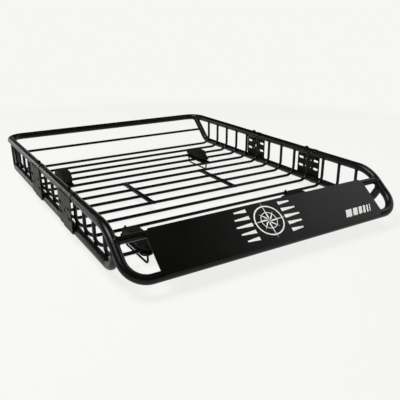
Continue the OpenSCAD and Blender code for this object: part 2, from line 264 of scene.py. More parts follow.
# patch, peel and grit are widths in mm, depth and edge are mm too, and rough is the range of roughness.
# Peel is the real 1 to 3 mm; a powder's real grit is about 0.1 mm and would not show, so it is drawn at
# 0.4 mm and more. The IORs are lower than a resin's 1.5, matched to how little of the pale floor shows
coats = {
    # black powder coat, melted on steel tube: nearly black, with a soft, broad sheen along each tube
    "rail_coat": makeCoat("satinPowderCoatOnTube", {
        "dark": "#060605", "light": "#0b0a09", "patch": 60, "peel": 2.6,
        "rough": (0.28, 0.36), "ior": 1.30}),
    # the same powder on thin bar: black, with hardly any light on it
    "slat_coat": makeCoat("satinPowderCoatOnRod", {
        "dark": "#050505", "light": "#080808", "patch": 60, "peel": 2.0,
        "rough": (0.26, 0.34), "ior": 1.33}),
    # textured powder on flat plate: a dull, slightly warm dark grey, rough to the eye
    "plate_coat": makeCoat("texturedPowderCoatOnPlate", {
        "dark": "#15130f", "light": "#1c1a15", "patch": 40, "peel": 1.4, "grit": 0.5, "depth": 0.07,
        "rough": (0.42, 0.52), "ior": 1.22, "edge": 0.7, "worn": "#30302e"}),
    # satin powder on sheet: black, with a wide even sheen on the side that faces the light
    "fairing_coat": makeCoat("satinPowderCoatOnSheet", {
        "dark": "#040403", "light": "#090907", "patch": 90, "peel": 2.6, "grit": 0.8, "depth": 0.03,
        "rough": (0.28, 0.36), "ior": 1.34, "edge": 0.6, "worn": "#2a2a29"}),
    # black enamel on pressed steel: matt, and a shade lighter than the rods under it
    "clamp_coat": makeCoat("blackEnamelOnPressedSteel", {
        "dark": "#111110", "light": "#181816", "patch": 25, "peel": 1.2, "grit": 0.5, "depth": 0.04,
        "rough": (0.50, 0.60), "ior": 1.14, "edge": 0.5, "worn": "#262625"}),
    # black zinc plating on bolts and nuts, seen as a dark chromate film and not as bare metal
    "clamp_steel": makeCoat("blackZincPlatedSteel", {
        "dark": "#080807", "light": "#0f0f0d", "patch": 12, "peel": 0.9, "grit": 0.4, "depth": 0.02,
        "rough": (0.42, 0.52), "ior": 1.18}),
}
# screen-printed ink: a thin matt film, nearly white, faintly uneven where the mesh of the screen laid it
printedInk = makeCoat("whiteScreenPrintedInk", {
    "dark": "#ededea", "light": "#f8f8f5", "patch": 18, "peel": 1.1, "grit": 0.4, "depth": 0.02,
    "rough": (0.50, 0.60), "ior": 1.33})

for member in frame["record"]["subparts"]:
    node = nodes[member["node"]]
    node.data.materials.clear()
    node.data.materials.append(coats[member["material_slot"]])
print("coats on")


def cornersMm(name):
    # lowest and highest corner of a node's box, in mm
    low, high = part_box(name)
    return np.array(low) / mm, np.array(high) / mm


def unit(vectors):
    # each vector divided by its own length
    return vectors / np.linalg.norm(vectors, axis=-1, keepdims=True)


def gridQuads(rows, cols, wrapRows, wrapCols):
    # the cell at (row, col) joins that point, the next in its row, the one across and the next in its
    # column, counted round where the grid wraps
    row = np.arange(rows if wrapRows else rows - 1)[:, None]
    col = np.arange(cols if wrapCols else cols - 1)[None, :]
    nextRow, nextCol = (row + 1) % rows, (col + 1) % cols
    corners = [row * cols + col, row * cols + nextCol, nextRow * cols + nextCol, nextRow * cols + col]
    full = (row.shape[0], col.shape[1])
    return np.stack([np.broadcast_to(corner, full) for corner in corners], -1).reshape(-1, 4)


joinWithin = 0.004  # mm, points closer than this become one


def addPiece(name, shells, material, sharp=35, replaced=()):
    # a shell is (points, wrapRows, wrapCols), its points in mm as copies x rows x cols x 3; every grid is
    # made quads, points that coincide are merged, and edges over so many degrees stay creased
    points, faces, start = [], [], 0
    for grid, wrapRows, wrapCols in shells:
        copies, rows, cols, _ = grid.shape
        quads = gridQuads(rows, cols, wrapRows, wrapCols)
        offsets = start + np.arange(copies)[:, None, None] * rows * cols
        faces.append((quads[None] + offsets).reshape(-1, 4))
        points.append(grid.reshape(-1, 3))
        start += copies * rows * cols
    mesh = bpy.data.meshes.new(name)
    mesh.from_pydata((np.concatenate(points) * mm).tolist(), [], np.concatenate(faces).tolist())
    work = bmesh.new()
    work.from_mesh(mesh)
    bmesh.ops.remove_doubles(work, verts=work.verts, dist=joinWithin * mm)
    bmesh.ops.recalc_face_normals(work, faces=work.faces)
    work.to_mesh(mesh)
    work.free()
    mesh.shade_smooth()
    mesh.set_sharp_from_angle(angle=math.radians(sharp))
    mesh.materials.append(material)
    piece = bpy.data.objects.new(name, mesh)
    bpy.context.scene.collection.objects.link(piece)
    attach(piece, "root")
    if replaced:
        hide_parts(*replaced)
    print(name, len(mesh.polygons), "faces")


def carried(paths, radii, side, sides, closed):
    # a circle carried along a path: the point is path + radius x (cos a x across + sin a x up),
    # across and up standing square to the path; radii go by path point, or by path point and angle
    if closed:
        along = unit(np.roll(paths, -1, axis=1) - np.roll(paths, 1, axis=1))
    else:
        along = unit(np.gradient(paths, axis=1))
    across = unit(side - (side * along).sum(-1, keepdims=True) * along)
    up = np.cross(along, across)
    angle = np.linspace(0, 2 * math.pi, sides, endpoint=False)[:, None]
    ring = np.cos(angle) * across[:, :, None] + np.sin(angle) * up[:, :, None]
    radii = radii if radii.ndim == 3 else np.broadcast_to(radii, paths.shape[:2])[:, :, None]
    return paths[:, :, None] + radii[..., None] * ring


def turned(rows, centres, sides):
    # a lathe profile in rows of (radius, height, across flats): the point at angle a is
    # radius x (cos a, sin a), and where flats are given the radius is at most flats / 2 / cos of the angle
    # from the middle of a flat
    rows = np.array(rows, float)
    angle = np.linspace(0, 2 * math.pi, sides, endpoint=False)
    fold = (angle + math.pi / 6) % (math.pi / 3) - math.pi / 6
    hexagon = rows[:, 2:3] / 2 / np.cos(fold)[None]
    radius = np.where(rows[:, 2:3] > 0, np.minimum(rows[:, :1], hexagon), rows[:, :1])
    ring = np.stack([radius * np.cos(angle), radius * np.sin(angle),
                     np.broadcast_to(rows[:, 1:2], radius.shape)], -1)
    return centres[:, None, None] + ring[None]


# places and radii of the tubes and slats, in mm, from the boxes of their CAD nodes; in the functions that
# use them hand is -1 on the left and 1 on the right
xAxis, yAxis, zAxis = np.eye(3)
railLow, railHigh = cornersMm("right_middle_top_rail")
topX, _, topZ = (railLow + railHigh) / 2
railR = (railHigh[2] - railLow[2]) / 2
lowerLow, lowerHigh = cornersMm("right_middle_lower_rail")
lowX, _, lowZ = (lowerLow + lowerHigh) / 2
lowR = (lowerHigh[2] - lowerLow[2]) / 2
frontSeamY, rearSeamY = railLow[1], railHigh[1]
slatNames = sorted(name for name in nodes if name.startswith("slat_"))
slatLow = np.array([cornersMm(name)[0] for name in slatNames])
slatHigh = np.array([cornersMm(name)[1] for name in slatNames])
slatY = (slatLow[:, 1] + slatHigh[:, 1]) / 2
slatR = (slatHigh[0, 1] - slatLow[0, 1]) / 2
slatZ = slatLow[0, 2] + slatR
uprightX = slatHigh[0, 0] - slatR

# the slope at the front: the top rail turns down at slopeStart and ends in the front cross tube
frontLow, _ = cornersMm("front_top_rail")
frontY, frontZ = frontLow[1] + railR, frontLow[2] + railR
slopeStart = np.array([0, -500.0, topZ])
slopeAngle = math.atan2(topZ - frontZ, slopeStart[1] - frontY)
slopeDown = np.array([0, -math.cos(slopeAngle), -math.sin(slopeAngle)])
slopeOut = np.array([0, -math.sin(slopeAngle), math.cos(slopeAngle)])

# bead is the radius of a weld and ripple the length of one ripple, in mm; lift is how far the bead's
# middle stands off the corner and wave how high the ripples are, as shares of the bead. Real ripples can
# be as short as 1 mm, which would not show, so they are drawn at 2.4 mm and more
weldLook = {"bead": 1.7, "lift": 0.25, "ripple": 2.6, "wave": 0.08, "steps": 72, "sides": 8}
slimWeld = dict(weldLook, bead=1.2, steps=60)
tubeWeld = dict(weldLook, bead=2.3, ripple=3.2, steps=120)
stitchWeld = dict(weldLook, bead=1.9, ripple=3.0, steps=48)
sheetWeld = dict(stitchWeld, bead=1.5)
tackWeld = dict(weldLook, ripple=2.4)
steepest = 0.7  # cosine: a bar that lies closer to the y axis takes its circle's start from the x axis


def weldLoops(bars, look):
    # the line where a round bar ends on another: from each point of the first bar's circle go along its
    # axis until the distance to the second axis is the second radius; a bead with ripples follows it
    keys = ("from", "along", "onto", "axis", "radius", "otherRadius")
    origin, along, onto, axis, radius, other = (
        np.array([bar[key] for bar in bars], float) for key in keys)
    along, axis = unit(along), unit(axis)
    helper = np.where(np.abs(along[:, 1:2]) < steepest, yAxis, xAxis)
    across = unit(np.cross(along, helper))
    up = np.cross(along, across)
    angle = np.linspace(0, 2 * math.pi, look["steps"], endpoint=False)[None, :, None]
    outward = np.cos(angle) * across[:, None] + np.sin(angle) * up[:, None]
    start = origin[:, None] + radius[:, None, None] * outward
    # distance squared less radius squared is square x way squared + 2 x half x way + rest, which is 0 at
    # the end of the bar, and the smaller root is where it gets there first
    gap = start - onto[:, None]
    gap = gap - (gap * axis[:, None]).sum(-1, keepdims=True) * axis[:, None]
    run = along - (along * axis).sum(-1, keepdims=True) * axis
    square = (run * run).sum(-1)[:, None]
    half = (gap * run[:, None]).sum(-1)
    rest = (gap * gap).sum(-1) - other[:, None] ** 2
    reach = (-half - np.sqrt(np.maximum(half ** 2 - square * rest, 0))) / square
    line = start + reach[..., None] * along[:, None]
    line = line + look["bead"] * look["lift"] * (outward - along[:, None])
    ripples = round(2 * math.pi * radius[0] / look["ripple"])
    radii = look["bead"] * (1 + look["wave"] * np.cos(ripples * angle[..., 0]))
    return carried(line, radii, outward, look["sides"], True), True, True


def weldAlong(line, side, look):
    # a bead along a given line: with t from -1 at its start to 1 at its end the radius is
    # bead x root of (1 - t to the sixth) x (1 + wave x cos of the ripples), so both ends close to a point
    share = np.linspace(-1, 1, line.shape[1])
    length = np.linalg.norm(np.diff(line[0], axis=0), axis=-1).sum()
    wave = 1 + look["wave"] * np.cos(math.pi * share * length / look["ripple"])
    radii = look["bead"] * np.sqrt(np.maximum(1 - share ** 6, 0)) * wave
    return carried(line, radii[None], side, look["sides"], False), False, True


def weldRuns(starts, ends, side, look):
    # straight runs of bead: start + t x (end - start)
    share = np.linspace(0, 1, look["steps"])
    line = starts[:, None] + (ends - starts)[:, None] * share[None, :, None]
    return weldAlong(line, side, look)


floorBar = {
    "width": 17.0,  # mm
    "height": 11.2,  # mm
    "aside": 2.5,  # mm further out than the thinner bar of the CAD
    "slats": slice(5, 9),  # it runs through the sixth to the ninth
    "square": 3.2,  # power of the section: 2 is an ellipse, more is squarer
    "past": 3.0,  # mm that it runs past the outer slats
    "round": 2.5,  # mm, radius of its rounded ends
    "sides": 48,
    "endRows": 6,
}
barLow, barHigh = cornersMm("right_floor_stiffener")
barX = (barLow[0] + barHigh[0]) / 2 + floorBar["aside"]
barSlatY = slatY[floorBar["slats"]]


def floorBars():
    # flattened tube that the slats run through: the oblong |x/a|^n + |z/b|^n = 1 carried from the sixth
    # slat to the ninth, drawn in over the last millimetres like a quarter of a circle
    angle = np.linspace(0, 2 * math.pi, floorBar["sides"], endpoint=False)
    power = 2 / floorBar["square"]
    x = np.sign(np.cos(angle)) * np.abs(np.cos(angle)) ** power
    z = np.sign(np.sin(angle)) * np.abs(np.sin(angle)) ** power
    turn = np.linspace(0, math.pi / 2, floorBar["endRows"])
    low, high = barSlatY.min() - floorBar["past"], barSlatY.max() + floorBar["past"]
    y = np.concatenate([[low], low + floorBar["round"] * (1 - np.cos(turn)),
                        high - floorBar["round"] * (1 - np.cos(turn[::-1])), [high]])
    inset = np.concatenate([[0], floorBar["round"] * (1 - np.sin(turn))])
    inset = np.concatenate([inset, inset[::-1]])[:, None]
    fill = np.ones(len(y))[:, None]
    fill[0] = fill[-1] = 0
    ring = np.stack([fill * (floorBar["width"] / 2 - inset) * x,
                     np.broadcast_to(y[:, None], (len(y), len(x))),
                     slatZ + fill * (floorBar["height"] / 2 - inset) * z], -1)
    return np.stack([ring + hand * barX * xAxis for hand in (-1, 1)]), False, True


addPiece("floorBars", [floorBars()], coats["slat_coat"], sharp=50,
         replaced=["left_floor_stiffener", "right_floor_stiffener"])

# the leaning rear end of the lower rail: mm, and the degrees that the corner has turned where they meet
rearPost = {"footY": 518.0, "topX": 446.46, "topY": 601.57, "cornerTurn": 40}
frontClimb = {"footY": -517.0, "rise": 60}  # mm, and degrees, of the lower rail's climbing front end
# where on its own axis the search for a bar's end starts, in mm, and for the post as a share of its length
searchFrom = {"upright": 40, "slat": 30, "climb": 25, "post": 0.4}
barSink = 0.2  # mm that the bead is let into the floor bar


def tiltedDirection(degrees, flat, steep):
    # cos of the angle along one direction and sin of it along another
    return math.cos(math.radians(degrees)) * flat + math.sin(math.radians(degrees)) * steep


def weldBars():
    # every place where a round bar ends on another, as weldLoops wants it: a point of the ending bar's
    # axis and the way to its end, a point and the direction of the other bar's axis, and both radii
    slopeLine = {hand: hand * topX * xAxis + slopeStart for hand in (-1, 1)}
    mirror = {hand: np.array([hand, 1, 1]) for hand in (-1, 1)}
    uprights = [{
        "from": (hand * uprightX, y, topZ - searchFrom["upright"]), "along": zAxis,
        "onto": (hand * topX, y, topZ), "axis": yAxis,
        "radius": slatR, "otherRadius": railR} for hand in (-1, 1) for y in slatY]
    throughSlats = [{
        "from": (hand * barX + way * searchFrom["slat"], y, slatZ), "along": -way * xAxis,
        "onto": (hand * barX, y, slatZ), "axis": yAxis,
        "radius": slatR, "otherRadius": floorBar["width"] / 2 - barSink}
        for hand in (-1, 1) for y in barSlatY for way in (-1, 1)]
    rodLow, rodHigh = cornersMm("back_middle_rod")
    foot = np.array([lowX, rearPost["footY"], lowZ])
    top = np.array([rearPost["topX"], rearPost["topY"], topZ])
    rods = [{
        "from": (rodLow + rodHigh) / 2, "along": hand * xAxis,
        "onto": foot * mirror[hand], "axis": (top - foot) * mirror[hand],
        "radius": (rodHigh[2] - rodLow[2]) / 2, "otherRadius": lowR} for hand in (-1, 1)]
    corner = tiltedDirection(rearPost["cornerTurn"], yAxis, -xAxis)
    posts = [{
        "from": (foot + searchFrom["post"] * (top - foot)) * mirror[hand],
        "along": (top - foot) * mirror[hand],
        "onto": top * mirror[hand], "axis": corner * mirror[hand],
        "radius": lowR, "otherRadius": railR} for hand in (-1, 1)]
    tubeLow, tubeHigh = cornersMm("fairing_support_tube")
    tube = (tubeLow + tubeHigh) / 2
    supports = [{
        "from": (0, tube[1], tube[2]), "along": hand * xAxis,
        "onto": slopeLine[hand], "axis": slopeDown,
        "radius": (tubeHigh[2] - tubeLow[2]) / 2, "otherRadius": railR} for hand in (-1, 1)]
    climb = tiltedDirection(frontClimb["rise"], -yAxis, zAxis)
    climbs = [{
        "from": np.array([hand * lowX, frontClimb["footY"], lowZ]) + searchFrom["climb"] * climb,
        "along": climb, "onto": slopeLine[hand], "axis": slopeDown,
        "radius": lowR, "otherRadius": railR} for hand in (-1, 1)]
    return uprights, throughSlats, rods, posts, supports, climbs


uprights, throughSlats, rods, posts, supports, climbs = weldBars()
addPiece("slatEndWelds", [weldLoops(uprights, weldLook)], coats["slat_coat"])
addPiece("stiffenerWelds", [weldLoops(throughSlats, slimWeld), weldLoops(rods, slimWeld)],
         coats["slat_coat"])
addPiece("tubeEndWelds", [weldLoops(group, tubeWeld) for group in (posts, supports, climbs)],
         coats["rail_coat"])

tack = {
    "bendR": 35.0,  # mm, middle radius of the slat's bend
    "reach": 9.0,  # degrees of the bend that a bead covers each way from where slat and rail touch
    "off": 4.1,  # mm from the slat's middle
    "sink": 0.7,  # mm inside the slat's outer radius
    "steps": 24,
}


def tackWelds():
    # short beads on both sides of each slat where its bend lies on the lower rail: an arc of the slat's
    # outer radius about the bend's centre, so many degrees each way from the touching point
    centreX, centreZ = uprightX - tack["bendR"], slatZ + tack["bendR"]
    touch = math.atan2(lowZ - centreZ, lowX - centreX)
    turn = touch + np.radians(np.linspace(-tack["reach"], tack["reach"], tack["steps"]))
    reach = tack["bendR"] + slatR - tack["sink"]
    full = (len(slatY), len(turn))
    lines = [np.stack([np.broadcast_to(hand * (centreX + reach * np.cos(turn)), full),
                       np.broadcast_to(slatY[:, None] + way * tack["off"], full),
                       np.broadcast_to(centreZ + reach * np.sin(turn), full)], -1)
             for hand in (-1, 1) for way in (-1, 1)]
    return weldAlong(np.concatenate(lines), yAxis, tackWeld)


addPiece("slatTackWelds", [tackWelds()], coats["slat_coat"])

jointPlates = ("right_front_joint_plate", "right_rear_joint_plate")  # the left ones mirror them
plateStitch = {
    "length": 26.0,  # mm
    # each run's place: share of the plate's length from its middle, mm out from its inner face, and mm
    # above its upper or its lower edge
    "upper": ((-0.34, 0.4, 0.6), (0.0, 0.4, 0.6), (0.34, 0.4, 0.6)),
    "lower": ((-0.30, -0.2, -0.8), (0.28, -0.2, 3.2)),
}


def plateWelds():
    # straight runs of bead along the upper edge of each joint plate and by its lower edge
    starts, ends = [], []
    for name in jointPlates:
        low, high = cornersMm(name)
        middle, length = (low[1] + high[1]) / 2, high[1] - low[1]
        for runs, edge in ((plateStitch["upper"], high[2]), (plateStitch["lower"], low[2])):
            for share, out, lift in runs:
                for hand in (-1, 1):
                    spot = np.array([hand * (low[0] + out), middle + share * length, edge + lift])
                    starts.append(spot - plateStitch["length"] / 2 * yAxis)
                    ends.append(spot + plateStitch["length"] / 2 * yAxis)
    return weldRuns(np.array(starts), np.array(ends), zAxis, stitchWeld)


addPiece("plateWelds", [plateWelds()], coats["rail_coat"])

fairingStitch = {
    "length": 24.0,  # mm
    "places": (-340, -220, -100, 20, 140, 260),  # mm across, the left end of each run
    "off": 4.6,  # mm up or down the slope from the tube's middle
    "sink": 0.9,  # mm below the sheet
}


def fairingWelds():
    # straight runs of bead under the sheet, in the wedge between it and the round tubes
    low, high = cornersMm("fairing_support_tube")
    tube = np.array([0, (low[1] + high[1]) / 2, (low[2] + high[2]) / 2])
    front = np.array([0, frontY, frontZ])
    starts, ends = [], []
    for centre, radius, ways in ((tube, (high[2] - low[2]) / 2, (-1, 1)), (front, railR, (-1,))):
        for way in ways:
            spot = centre + (radius - fairingStitch["sink"]) * slopeOut
            spot = spot + way * fairingStitch["off"] * slopeDown
            for x in fairingStitch["places"]:
                starts.append(spot + x * xAxis)
                ends.append(spot + (x + fairingStitch["length"]) * xAxis)
    return weldRuns(np.array(starts), np.array(ends), zAxis, sheetWeld)


addPiece("fairingWelds", [fairingWelds()], coats["rail_coat"])

socket = {
    "proud": 1.3,  # mm over the tube
    "rim": ((0, 0.5), (0.15, 0.15), (0.6, 0.0)),  # mm from the seam, and mm short of the full height
    "straight": 13.0,  # mm
    "taper": 14.0,  # mm
    "taperRows": 10,
    "sides": 40,
}


def tubeSockets():
    # the swaged end of each tube that takes the next one: a solid of revolution along the rail, a rounded
    # rim at the seam, full height forwards of it, then half a cosine down to the tube's own radius
    rimReach, rimShort = np.array(socket["rim"]).T
    fall = np.linspace(0, 1, socket["taperRows"])
    end = socket["straight"] + socket["taper"]
    reach = np.concatenate([[0], rimReach, socket["straight"] + socket["taper"] * fall, [end]])
    height = np.concatenate([[0], socket["proud"] - rimShort,
                             socket["proud"] * (0.5 + 0.5 * np.cos(math.pi * fall)), [0]])
    angle = np.linspace(0, 2 * math.pi, socket["sides"], endpoint=False)
    full = (len(reach), len(angle))
    shells = []
    for seam in (frontSeamY, rearSeamY):
        for x, z, radius in ((topX, topZ, railR), (lowX, lowZ, lowR)):
            radii = (radius + height)[:, None]
            radii[0] = radii[-1] = 0
            for hand in (-1, 1):
                ring = np.stack([hand * x + radii * np.cos(angle),
                                 np.broadcast_to(seam - reach[:, None], full),
                                 z + radii * np.sin(angle)], -1)
                shells.append((ring[None], False, True))
    return shells


addPiece("tubeSockets", tubeSockets(), coats["rail_coat"])

railBolt = {
    "head": 7.0,  # mm, radius of the button head
    "height": 4.6,  # mm from the rail's crest to the crown
    "rim": (0.1, 0.4, 1.0),  # mm drawn in at its foot, and mm up to its full radius and to the dome
    "dome": 1.12,  # radians of the arc from rim to crown
    "domeRows": 9,
    "pocket": 5.0,  # mm across the flats
    "depth": 2.4,  # mm of the pocket
    "point": 0.6,  # mm of the drill's point under it
    "washer": 1.2,  # mm past the head
    "washerTop": 0.1,  # mm over the rail's crest
    "washerSoft": 0.3,  # mm of chamfer
    "under": 2.6,  # mm that the washer reaches down beside the crest
    "sides": 48,
}


def railBolts():
    # button head as a lathe profile: a washer's rim, the rim of the head, then an arc whose radius goes
    # with cos and height with sin, and a six-sided pocket in the crown
    head, crown, pocket = railBolt["head"], railBolt["height"], railBolt["pocket"]
    drawnIn, footTop, rimTop = railBolt["rim"]
    washer, seat, soft = head + railBolt["washer"], railBolt["washerTop"], railBolt["washerSoft"]
    turn = np.linspace(0, railBolt["dome"], railBolt["domeRows"])
    bulge = np.sin(turn) / math.sin(railBolt["dome"])
    dome = np.stack([head * np.cos(turn), rimTop + (crown - rimTop) * bulge, 0 * turn], -1)
    floor = crown - railBolt["depth"]
    rows = [(0, -railBolt["under"], 0), (washer, -railBolt["under"], 0), (washer, seat - soft, 0),
            (washer - soft, seat, 0), (head - drawnIn, seat, 0), (head, footTop, 0), *dome,
            (pocket, crown, pocket), (pocket, floor, pocket), (0, floor - railBolt["point"], 0)]
    places = []
    for name in jointPlates:
        low, high = cornersMm(name)
        places += [(hand * topX, (low[1] + high[1]) / 2, topZ + railR) for hand in (-1, 1)]
    return turned(rows, np.array(places), railBolt["sides"]), False, True


addPiece("railBolts", [railBolts()], coats["clamp_steel"], sharp=28)

# places and sizes of the four clamps, in mm, from the boxes of their CAD nodes
clamps = ["rear_left", "rear_right", "front_left", "front_right"]
clampLow = np.array([cornersMm(c + "_clamp_bracket")[0] for c in clamps])
clampHigh = np.array([cornersMm(c + "_clamp_bracket")[1] for c in clamps])
clampX, clampY, _ = ((clampLow + clampHigh) / 2).T
seatZ = clampLow[0, 2]
boltLow, boltHigh = cornersMm("rear_left_u_bolt")
rodR = (boltHigh[0] - boltLow[0]) / 2
legY = (boltHigh[1] - boltLow[1]) / 2 - rodR
boltTop = boltHigh[2]


def clampPlaces(z):
    # the middle of each clamp, at one height
    return np.stack([clampX, clampY, np.full(len(clamps), z)], -1)


uBolt = {
    "bendR": 11.0,  # mm
    "thread": 32.0,  # mm of it on each leg
    "pitch": 1.0,  # mm
    "deep": 0.55,  # mm
    "runOut": 1.5,  # mm over which the thread goes shallow
    "plain": 0.5,  # mm from the thread down to the first plain row
    "chamfer": 0.9,  # mm at the ends of the legs
    "step": 0.2,  # mm between the rows of the thread
    "bendRows": 14,
    "legRows": 4,
    "sides": 20,
}
capLift = 1e-4  # mm that the point closing an end stands over it, so that the path has a direction there


def uBolts():
    # a rod down one leg, round two quarter turns and up the other; on the legs the radius drops by
    # depth x a triangle wave of (length / pitch - angle / full turn), which is a helical thread
    bend, low, thread = uBolt["bendR"], rodR, uBolt["thread"]
    down = np.concatenate([np.linspace(0, thread, int(thread / uBolt["step"])),
                           np.linspace(thread + uBolt["plain"], boltTop - low - bend, uBolt["legRows"])])
    leg = np.stack([np.full_like(down, -legY), boltTop - down], -1)
    turn = np.linspace(0, math.pi / 2, uBolt["bendRows"])[1:]
    arc = np.stack([-legY + bend - bend * np.cos(turn), low + bend - bend * np.sin(turn)], -1)
    half = np.concatenate([leg, arc, [[-legY / 2, low]]])
    mirrored = half[::-1] * [-1, 1]
    line = np.concatenate([half[:1], half, mirrored, mirrored[-1:]])
    length = np.concatenate([[0], np.cumsum(np.linalg.norm(np.diff(line, axis=0), axis=-1))])
    fromEnd = np.minimum(length, length[-1] - length)[:, None]
    angle = np.linspace(0, 2 * math.pi, uBolt["sides"], endpoint=False)
    wave = np.abs(2 * ((fromEnd / uBolt["pitch"] - angle / (2 * math.pi)) % 1) - 1)
    fade = np.clip((thread - uBolt["runOut"] - fromEnd) / uBolt["runOut"], 0, 1)
    radii = rodR - uBolt["deep"] * wave * fade
    radii = np.minimum(radii, rodR - uBolt["chamfer"] + fromEnd)
    radii[0] = radii[-1] = 0
    lines = clampPlaces(0)[:, None] + np.insert(line, 0, 0, axis=1)
    lines[:, [0, -1], 2] += capLift
    radii = np.broadcast_to(radii, (len(clamps),) + radii.shape)
    return carried(lines, radii, xAxis, uBolt["sides"], False), False, True


addPiece("uBolts", [uBolts()], coats["clamp_steel"], sharp=50,
         replaced=[c + "_u_bolt" for c in clamps])

nut = {
    "flats": 10.0,  # mm across
    "height": 5.0,  # mm
    "bore": 2.7,  # mm, radius
    "boreSoft": 0.5,  # mm of chamfer at the bore
    "faces": (0.98, 0.97),  # radius of the lower and the upper face, as a share of half the flats
    # corners: share of their radius, and mm from the lower or the upper face
    "lowerCorner": ((0.95, 0.25), (1.0, 0.6)),
    "upperCorner": ((1.0, 0.75), (0.955, 0.3375)),
    "sides": 48,
}
washer = {
    "rim": 6.4,  # mm, radius
    "thick": 1.2,  # mm
    "lowerSoft": (0.2, 0.25),  # mm inwards and upwards that its lower edge is rounded
    "upperSoft": (0.3, 0.3),  # mm inwards and downwards
    "sides": 40,
}
bracket = {
    "sheet": 3.0,  # mm thick
    "height": 28.0,  # mm
    "top": 32.0,  # mm from the middle, where the raised part starts to slope down
    "foot": 56.0,  # mm from the middle, where the slope ends
    "ear": 11.0,  # mm, radius of the rounded ends
    "soft": 1.0,  # mm, how softly slope and flats meet
    "near": 4,  # mm each way from top and foot with close rows
    "flatFrom": 3,  # mm past the foot, from where the sheet lies on the seat
    "fold": 1.8,  # mm, outer radius of the folded edge
    "innerFold": 0.8,  # mm
    "foldShare": 0.45,  # the most of the height that a fold takes
    "sparseRows": 4,
    "closeRows": 9,
    "endRows": 14,
    "columns": (6, 7, 4),  # half of a section: across the flat, round the fold and down the wall
    "innerDrop": 0.02,  # mm taken off the inner skin, which the soft limit leaves a little high
}


def clampNuts():
    # two lathe profiles: the hexagon drawn in at both ends as if cut by a cone, and under it a plain
    # washer with a rounded rim
    flats, high, bore = nut["flats"], nut["height"], nut["bore"]
    corner = flats / 2 / math.cos(math.pi / 6)
    lowerFace, upperFace = (flats / 2 * share for share in nut["faces"])
    body = [(bore, 0, 0), (lowerFace, 0, 0),
            *[(corner * share, up, flats) for share, up in nut["lowerCorner"]],
            *[(corner * share, high - down, flats) for share, down in nut["upperCorner"]],
            (upperFace, high, 0), (bore + nut["boreSoft"], high, 0), (bore, high - nut["boreSoft"], 0)]
    rim, thick = washer["rim"], washer["thick"]
    lowIn, lowUp = washer["lowerSoft"]
    highIn, highDown = washer["upperSoft"]
    disc = [(bore, 0, 0), (rim - lowIn, 0, 0), (rim, lowUp, 0), (rim, thick - highDown, 0),
            (rim - highIn, thick, 0), (bore, thick, 0)]
    middles = clampPlaces(seatZ + bracket["sheet"])
    seats = np.stack([middles - legY * yAxis, middles + legY * yAxis], 1).reshape(-1, 3)
    return [(turned(body, seats + thick * zAxis, nut["sides"]), True, True),
            (turned(disc, seats, washer["sides"]), True, True)]


addPiece("clampNuts", clampNuts(), coats["clamp_steel"], sharp=24,
         replaced=[c + "_clamp_nuts" for c in clamps])


def softClamp(value, low, high, soft):
    # a straight line that bends over softly at both limits, by half a hyperbola
    value = 0.5 * (value + low + np.sqrt((value - low) ** 2 + soft ** 2))
    return 0.5 * (value + high - np.sqrt((value - high) ** 2 + soft ** 2))


def foldedSkin(half, high, bend):
    # for each row an upside-down U of this half width and height: flat from the middle to half - bend, a
    # quarter of a circle of the bend's radius, then straight down to 0, and the same mirrored
    acrossFlat, roundFold, downWall = bracket["columns"]
    flat = np.linspace(0, 1, acrossFlat)[None, :-1] * (half - bend)[:, None]
    turn = np.linspace(0, math.pi / 2, roundFold)
    down = np.linspace(1, 0, downWall)[None, 1:] * (high - bend)[:, None]
    x = np.concatenate([flat, (half - bend)[:, None] + bend[:, None] * np.sin(turn),
                        np.broadcast_to(half[:, None], down.shape)], 1)
    z = np.concatenate([np.broadcast_to(high[:, None], flat.shape),
                        (high - bend)[:, None] + bend[:, None] * np.cos(turn), down], 1)
    return np.concatenate([-x[:, ::-1], x[:, 1:]], 1), np.concatenate([z[:, ::-1], z[:, 1:]], 1)


